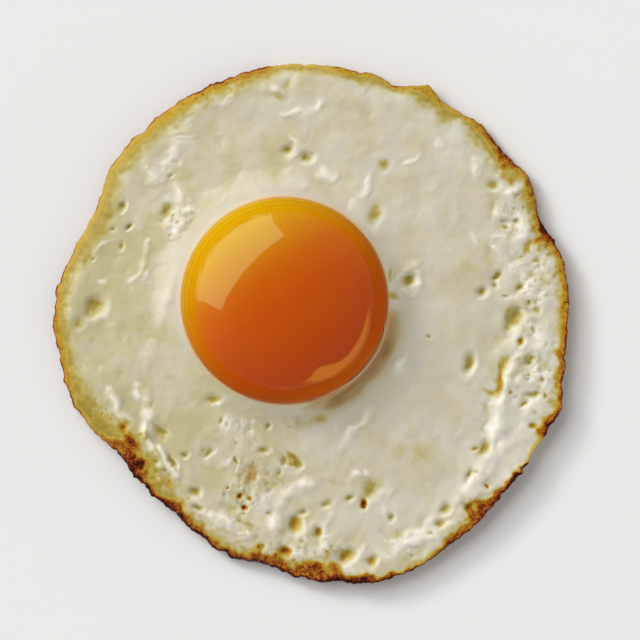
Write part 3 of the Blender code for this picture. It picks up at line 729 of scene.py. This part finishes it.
def make_film_edges(white, yolk):
    """Thin round rolls of film, each drawn as a path that lies on the white or the yolk."""
    surfaces = [surface_of(piece.data) for piece in (white, yolk)]
    rolls = []
    for line in FILM_EDGES:
        deselect()
        bpy.ops.curve.primitive_nurbs_path_add(radius=1, location=(0, 0, 0))
        roll = bpy.context.object
        path = roll.data.splines[0]
        path.points.add(max(0, len(line) - len(path.points)))
        for i, point in enumerate(path.points):
            x, y = line[min(i, len(line) - 1)]
            over = Vector((x * MM, y * MM, 1))
            hits = [surface.ray_cast(over, DOWN)[0] for surface in surfaces]
            point.co = (x * MM, y * MM, max(hit.z for hit in hits if hit) - ROLL_SUNK, 1)
            point.radius = ROLL_TIP if i in (0, len(path.points) - 1) else 1.0
        path.resolution_u = 8
        roll.data.bevel_depth = ROLL_RADIUS
        roll.data.bevel_resolution = 2
        roll.data.use_fill_caps = True
        bpy.ops.object.convert(target="MESH")
        rolls.append(roll)
    select_only(rolls[0])
    for roll in rolls[1:]:
        roll.select_set(True)
    bpy.ops.object.join()
    film = bpy.context.object
    film.name = "film_edges"
    settle(film)
    film.data.materials.append(thin_film_of_egg_white())
    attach(film, "root")


# ------------------------ materials


def linear(hex_colour):
    """An sRGB hex colour as linear values, opaque."""
    parts = [int(hex_colour[i : i + 2], 16) / 255 for i in (0, 2, 4)]
    return (*(p / 12.92 if p <= 0.04045 else ((p + 0.055) / 1.055) ** 2.4 for p in parts), 1.0)


def new_finish(name):
    """A material with only its Principled shader, and the tree to add to."""
    made = bpy.data.materials.new(name)
    made.use_nodes = True
    return made, made.node_tree, made.node_tree.nodes["Principled BSDF"]


def set_inputs(tree, node, inputs):
    """Gives each input, named or numbered, a value or a link from another node's output."""
    for key, value in inputs.items():
        if isinstance(value, bpy.types.NodeSocket):
            tree.links.new(value, node.inputs[key])
        else:
            node.inputs[key].default_value = value


def add_node(tree, kind, inputs=None, output=0, **settings):
    """Adds a shader node with its settings and inputs, and returns one of its outputs."""
    node = tree.nodes.new("ShaderNode" + kind)
    for name, value in settings.items():
        setattr(node, name, value)
    set_inputs(tree, node, inputs or {})
    return node.outputs[output]


def set_ramp(colour, *stops):
    """Sets the ramp that gives this colour: (place, hex colour) stops."""
    elements = colour.node.color_ramp.elements
    while len(elements) > 1:
        elements.remove(elements[-1])
    elements[0].position, elements[0].color = stops[0][0], linear(stops[0][1])
    for place, hex_colour in stops[1:]:
        elements.new(place).color = linear(hex_colour)
    return colour


def egg_white_set_in_oil():
    """Coagulated egg white, set in hot oil: milky and slightly see-through, wet with oil, and
    browned at the rim."""
    finish, tree, shader = new_finish("egg_white_set_in_oil")
    add = partial(add_node, tree)
    place = add("TexCoord", output="Object")
    names = ("browning", "thinness", "whiteness", "frothiness", "film", "stain", "amber")
    browning, thinness, whiteness, frothiness, film, stain, amber = (
        add("Attribute", output="Fac", attribute_name=name) for name in names
    )

    # Cloudy drifts 7 mm across, from warm cream to cool milk white, painted lighter and cooler to the right,
    # partly to offset the shade on the side away from the light
    drift = add("TexNoise", {"Vector": place, "Scale": 1 / (7 * MM), "Detail": 4.0})
    rightward = add("SeparateXYZ", {0: place})
    drift = add("Math", {0: rightward, 1: 0.004 / MM, 2: drift}, operation="MULTIPLY_ADD")
    milk = set_ramp(
        add("ValToRGB", {0: drift}),
        (0.3, "CEC59C"), (0.45, "D7CEB2"), (0.6, "DAD4BF"), (0.75, "DCD8C8"),
    )

    # Froth is pocked with the dimples of burst bubbles, 1.1 mm apart
    foam = add("TexVoronoi", {"Vector": place, "Scale": 1 / (1.1 * MM)}, "Distance")
    bubble = add("SeparateColor", {0: foam.node.outputs["Color"]})
    burst = add("MapRange", {0: bubble, 1: 0.35, 2: 0.75})
    dimple = add("MapRange", {0: foam, 1: 0.42, 2: 0.12}, interpolation_type="SMOOTHSTEP")
    dimple = add("Math", {0: dimple, 1: burst}, operation="MULTIPLY")
    dimple = add("Math", {0: dimple, 1: frothiness}, operation="MULTIPLY")

    # Opaque clots, and painted highlights on glinting bumps and hole lips, mottled 1.2 mm across
    mottle = add("TexNoise", {"Vector": place, "Scale": 1 / (1.2 * MM), "Detail": 3.0})
    mottle = add("Math", {0: mottle, 1: 0.5}, operation="SUBTRACT")
    whitening = add("Math", {0: mottle, 1: frothiness, 2: whiteness}, operation="MULTIPLY_ADD")
    whitening = add("MapRange", {0: whitening, 1: 0.05, 2: 0.95})
    milk = add("Mix", {0: whitening, 6: milk, 7: linear("ECE8DB")}, 2, data_type="RGBA")

    # Thin white over oil runs from straw to olive gold
    uneven = add("Math", {0: mottle, 1: thinness}, operation="MULTIPLY")
    thin = add("Math", {0: uneven, 1: 1.1, 2: thinness}, operation="MULTIPLY_ADD")
    thin = add("Math", {0: dimple, 1: 0.4, 2: thin}, operation="MULTIPLY_ADD")
    straw = set_ramp(add("ValToRGB", {0: thin}), (0.3, "CABF86"), (0.6, "C0AE58"), (1.0, "AA9236"))
    veiled = add("MapRange", {0: thin, 1: 0.05, 2: 0.75})
    milk = add("Mix", {0: veiled, 6: milk, 7: straw}, 2, data_type="RGBA")

    # Where the white climbs the yolk on the side facing the light it is painted duller and darker, a painted
    # shade; beyond the yolk, away from the light, it is painted brown, a painted shadow of the yolk warmed by
    # its light, with the real scorch in front; and the yolk's orange is painted into its very edge, partly a
    # painted glow
    milk = add("Mix", {0: film, 6: milk, 7: linear("D0C6B3")}, 2, data_type="RGBA")
    shadow_and_scorch_browns = set_ramp(add("ValToRGB", {0: stain}), (0.2, "CBBC98"), (0.5, "B8985C"), (0.95, "946A24"))
    stained = add("MapRange", {0: stain, 2: 0.35})
    milk = add("Mix", {0: stained, 6: milk, 7: shadow_and_scorch_browns}, 2, data_type="RGBA")
    glow = add("Math", {0: amber, 1: 0.75}, operation="MULTIPLY")
    milk = add("Mix", {0: glow, 6: milk, 7: linear("E4B06C")}, 2, data_type="RGBA")

    # Browning runs from pale gold to burnt brown, with specks 0.35 mm across
    specks = add("TexNoise", {"Vector": place, "Scale": 1 / (0.35 * MM), "Detail": 1.0})
    specks = add("Math", {0: specks, 1: 0.5}, operation="SUBTRACT")
    specks = add("Math", {0: specks, 1: browning}, operation="MULTIPLY")
    toasted = add("Math", {0: specks, 1: 1.2, 2: browning}, operation="MULTIPLY_ADD")
    crust = set_ramp(
        add("ValToRGB", {0: toasted}),
        (0.12, "C8AE54"), (0.3, "BA9A32"), (0.42, "B08626"), (0.5, "A86E1A"),
        (0.6, "96480C"), (0.72, "742A08"), (0.85, "4E1806"), (1.0, "2A0E06"),
    )
    crisp = add("MapRange", {0: toasted, 1: 0.06, 2: 0.26})
    colour = add("Mix", {0: crisp, 6: milk, 7: crust}, 2, data_type="RGBA")

    # Oil wets it in patches 2.5 mm across, and less of it where the white is crisp or thin, and where it is
    # painted duller on its lit slope up the yolk
    wet = add("TexNoise", {"Vector": place, "Scale": 1 / (2.5 * MM)})
    wet = add("MapRange", {0: wet, 1: 0.3, 2: 0.7, 3: 0.36, 4: 0.48})
    roughness = add("Math", {0: crisp, 1: 0.12, 2: wet}, operation="MULTIPLY_ADD")
    dull = add("Math", {0: crisp, 1: thinness}, operation="MAXIMUM")
    dull = add("Math", {0: film, 1: 0.6, 2: dull}, operation="MULTIPLY_ADD")
    oil = add("Math", {0: dull, 1: -0.5, 2: 0.6}, operation="MULTIPLY_ADD")

    # The crust is dry and dense, and the milk is wet and lets light through
    shine = add("Math", {0: crisp, 1: -0.25, 2: 0.35}, operation="MULTIPLY_ADD")
    depth = add("Math", {0: crisp, 1: -0.85, 2: 1.0}, operation="MULTIPLY_ADD")

    # Fine grain of the curd, 0.45 mm across, strongest where it is frothy or crisp, on ripples
    # 2.2 mm across
    grain = add("TexNoise", {"Vector": place, "Scale": 1 / (0.45 * MM), "Detail": 3.0})
    rough = add("Math", {0: frothiness, 1: crisp}, operation="MAXIMUM")
    rough = add("Math", {0: rough, 1: 0.12 * MM, 2: 0.025 * MM}, operation="MULTIPLY_ADD")
    rough = add("Math", {0: whiteness, 1: 0.06 * MM, 2: rough}, operation="MULTIPLY_ADD")
    relief = add("Math", {0: dimple, 1: -0.22 * MM}, operation="MULTIPLY")
    relief = add("Math", {0: grain, 1: rough, 2: relief}, operation="MULTIPLY_ADD")
    ripples = add("TexNoise", {"Vector": place, "Scale": 1 / (2.2 * MM)})
    relief = add("Math", {0: ripples, 1: 0.22 * MM, 2: relief}, operation="MULTIPLY_ADD")
    bumpy = add("Bump", {"Height": relief, "Distance": 1.0})

    looks = {"Base Color": colour, "Roughness": roughness, "Specular IOR Level": shine, "IOR": 1.4}
    looks |= {"Normal": bumpy, "Coat Normal": bumpy, "Subsurface Weight": depth}
    looks |= {"Subsurface Radius": (1.0, 0.8, 0.4), "Subsurface Scale": 1.3 * MM}
    looks |= {"Coat Weight": oil, "Coat Roughness": 0.07, "Coat IOR": 1.45}
    set_inputs(tree, shader, looks)
    return finish


def thin_film_of_egg_white():
    """Set egg white rolled into threads, cream and wet, with the yolk's warmth in it."""
    finish, tree, shader = new_finish("thin_film_of_egg_white")
    looks = {"Base Color": linear("E2BC8E"), "Roughness": 0.22, "Coat Weight": 0.6}
    set_inputs(tree, shader, looks)
    return finish


def soft_yolk_under_skin():
    """Soft egg yolk under its skin: deep orange and mirror wet, with light and shade painted into its colour:
    lighter at its thin edge and toward the light, redder away from it, and a crescent of light on its far
    side.
    """
    finish, tree, shader = new_finish("soft_yolk_under_skin")
    add = partial(add_node, tree)
    place = add("TexCoord", output="Object")
    own = {"Vector": place, "Location": YOLK_CENTRE, "Rotation": (0, 0, LIGHT_TURN)}
    own |= {"Scale": (YOLK_RADIUS,) * 3}
    own = add("Mapping", own, vector_type="TEXTURE")
    forward = add("SeparateXYZ", {0: own})
    aside = forward.node.outputs[1]
    flat = add("CombineXYZ", {0: forward, 1: aside})
    out = add("VectorMath", {0: flat}, "Value", operation="LENGTH")
    across = add("VectorMath", {0: own, 1: (0.968, -0.25, 0)}, "Value", operation="DOT_PRODUCT")
    across = add("MapRange", {0: across, 1: -1.0, 2: 1.0})
    # Painted light: the body is painted yellower toward the light and redder away from it, standing for light
    # falling on it and through it.
    body = set_ramp(
        add("ValToRGB", {0: across}),
        (0.2, "C84A04"), (0.42, "CC5804"), (0.5, "CE5804"), (0.6, "D06404"),
        (0.66, "D26C04"), (0.75, "D28403"), (0.88, "D49A02"),
    )

    # Painted shade: a deeper red, further out on the side turned from the light
    deep = add("MapRange", {0: out, 1: 0.4, 2: 0.78, 4: 0.5})
    unlit = add("MapRange", {0: across, 1: 0.55, 2: 0.35})
    deep = add("Math", {0: deep, 1: unlit}, operation="MULTIPLY")
    body = add("Mix", {0: deep, 6: body, 7: linear("C03804")}, 2, data_type="RGBA")

    # A crescent of light on the far side, painted in, standing for light that has crossed the yolk; it bulges
    # inwards
    aside = add("Math", {0: aside, 1: 1 / 0.13, 2: -0.27 / 0.13}, operation="MULTIPLY_ADD")
    aside = add("Math", {0: aside, 1: aside}, operation="MULTIPLY")
    aside = add("Math", {0: aside, 1: -1.0}, operation="MULTIPLY")
    bulge = add("Math", {0: aside}, operation="EXPONENT")
    beyond = add("Math", {0: bulge, 1: 0.08, 2: out}, operation="MULTIPLY_ADD")
    beyond = add("MapRange", {0: beyond, 1: 0.8, 2: 0.82})
    within = add("VectorMath", {0: flat, 1: (-0.314, 0, 0)}, "Value", operation="DISTANCE")
    within = add("MapRange", {0: within, 1: 0.6, 2: 0.56})
    crescent = add("Math", {0: beyond, 1: within}, operation="MULTIPLY")
    crescent = add("Math", {0: crescent, 1: 0.8}, operation="MULTIPLY")
    body = add("Mix", {0: crescent, 6: body, 7: linear("EA8A28")}, 2, data_type="RGBA")

    # Its thin edge is painted lighter, golden toward the light: painted light passing through the thin yolk
    ring = set_ramp(
        add("ValToRGB", {0: across}),
        (0.05, "C85904"), (0.13, "C34F04"), (0.28, "C45004"), (0.42, "C25F04"),
        (0.58, "CA7404"), (0.76, "C88C02"), (0.9, "CC9802"), (1.0, "CEA402"),
    )
    edge = add("MapRange", {0: out, 1: 0.8, 2: 0.95, 4: 0.95}, interpolation_type="SMOOTHSTEP")
    body = add("Mix", {0: edge, 6: body, 7: ring}, 2, data_type="RGBA")

    # The skin draws tight in fine rings toward the edge, 0.9 mm apart, and creases 2.2 mm across
    waves = {"Vector": own, "Scale": YOLK_RADIUS / (0.9 * MM) / WAVES_AT_SCALE_ONE}
    waves |= {"Distortion": 2.0, "Detail": 2.0}
    rings = add("TexWave", waves, "Fac", wave_type="RINGS", rings_direction="Z")
    lined = add("Math", {0: edge, 1: rings}, operation="MULTIPLY")
    lined = add("Math", {0: lined, 1: 0.22}, operation="MULTIPLY")
    body = add("Mix", {0: lined, 6: body, 7: linear("A05008")}, 2, data_type="RGBA")
    creases = add("TexNoise", {"Vector": place, "Scale": 1 / (2.2 * MM), "Detail": 1.0})
    rings = add("Math", {0: rings, 1: 0.25}, operation="MULTIPLY")
    creases = add("Math", {0: creases, 1: 2.4, 2: rings}, operation="MULTIPLY_ADD")
    tight = {0: out, 1: 0.72, 2: 0.9, 4: 0.07 * MM}
    tight = add("MapRange", tight, interpolation_type="SMOOTHSTEP")
    skin = add("Bump", {"Height": creases, "Distance": tight})

    # Its thin edge takes in less light and shines less
    soft = add("MapRange", {0: out, 1: 0.75, 2: 0.92, 3: 1.0, 4: 0.1})
    shine = add("MapRange", {0: out, 1: 0.83, 2: 0.88, 3: 0.6, 4: 0.04})
    looks = {"Base Color": body, "Normal": skin, "Roughness": 0.06, "IOR": 1.52}
    looks |= {"Specular IOR Level": shine, "Specular Tint": linear("D7FFB1")}
    looks |= {"Subsurface Weight": soft, "Subsurface Radius": (1.0, 0.4, 0.05)}
    looks |= {"Subsurface Scale": 5 * MM}
    set_inputs(tree, shader, looks)
    return finish


# ------------------------ stage, light and camera


def make_floor():
    deselect()
    bpy.ops.mesh.primitive_plane_add(size=FLOOR_SIZE, location=(0, 0, 0))
    floor = bpy.context.object
    floor.name = "floor"
    finish, tree, shader = new_finish("pale_matt_floor")
    looks = {"Base Color": linear("F0EFED"), "Roughness": 1.0, "Specular IOR Level": 0.0}
    set_inputs(tree, shader, looks)
    floor.data.materials.append(finish)


def light_room():
    """A pale room with a dim ceiling, and a bright low wall across from the soft box."""
    world = bpy.data.worlds.new("pale_room")
    world.use_nodes = True
    tree = world.node_tree
    add = partial(add_node, tree)
    toward = add("TexCoord", output="Generated")
    height = add("SeparateXYZ", {0: toward}, 2)
    room = add("MapRange", {0: height, 1: 0.75, 2: 0.97, 3: 0.4, 4: 0.17})
    wall = add("VectorMath", {0: toward, 1: -LIT_SIDE}, "Value", operation="DOT_PRODUCT")
    wall = add("MapRange", {0: wall, 1: 0.1, 2: 0.8, 4: 1.05}, interpolation_type="SMOOTHSTEP")
    low = add("MapRange", {0: height, 1: 0.25, 2: 0.5, 3: 1.0, 4: 0.0})
    room = add("Math", {0: wall, 1: low, 2: room}, operation="MULTIPLY_ADD")
    set_inputs(tree, tree.nodes["Background"], {"Color": (1, 1, 1, 1), "Strength": room})
    bpy.context.scene.world = world


def hang_light(light, lean):
    """Turns a light to shine on the egg from the lit side, leaning over it by so many degrees."""
    holder = bpy.data.objects.new(light.name, light)
    lean = math.radians(lean)
    leaning = LIT_SIDE * math.cos(lean) + Vector((0, 0, math.sin(lean)))
    holder.rotation_euler = leaning.to_track_quat("Z", "Y").to_euler()
    bpy.context.scene.collection.objects.link(holder)
    return holder


def light_studio():
    """One large soft box behind the egg's left, and a low window under it that throws the egg's
    shadow but isn't mirrored in it, in a pale room."""
    light_room()
    box = bpy.data.lights.new("soft_box", "AREA")
    box.shape = "RECTANGLE"
    box.size, box.size_y = SOFT_BOX_SIZE
    box.energy = SOFT_BOX_BRIGHTNESS * math.pi * box.size * box.size_y
    holder = hang_light(box, SOFT_BOX_LEAN)
    holder.location = LIT_SIDE * SOFT_BOX_DISTANCE + Vector((0, 0, SOFT_BOX_HEIGHT))
    holder.visible_camera = False
    window = bpy.data.lights.new("low_window", "SUN")
    window.energy = LOW_WINDOW_BRIGHTNESS
    window.angle = math.radians(LOW_WINDOW_WIDTH)
    hang_light(window, LOW_WINDOW_LEAN).visible_glossy = False


def place_camera():
    """Straight above the egg."""
    camera = bpy.data.cameras.new("camera")
    camera.lens = CAMERA_LENS
    holder = bpy.data.objects.new("camera", camera)
    holder.location = CAMERA_PLACE
    bpy.context.scene.collection.objects.link(holder)
    bpy.context.scene.camera = holder
    bpy.context.scene.view_settings.view_transform = "Standard"


make_floor()
light_studio()
place_camera()
white = make_white()
yolk = make_yolk()
make_film_edges(white, yolk)
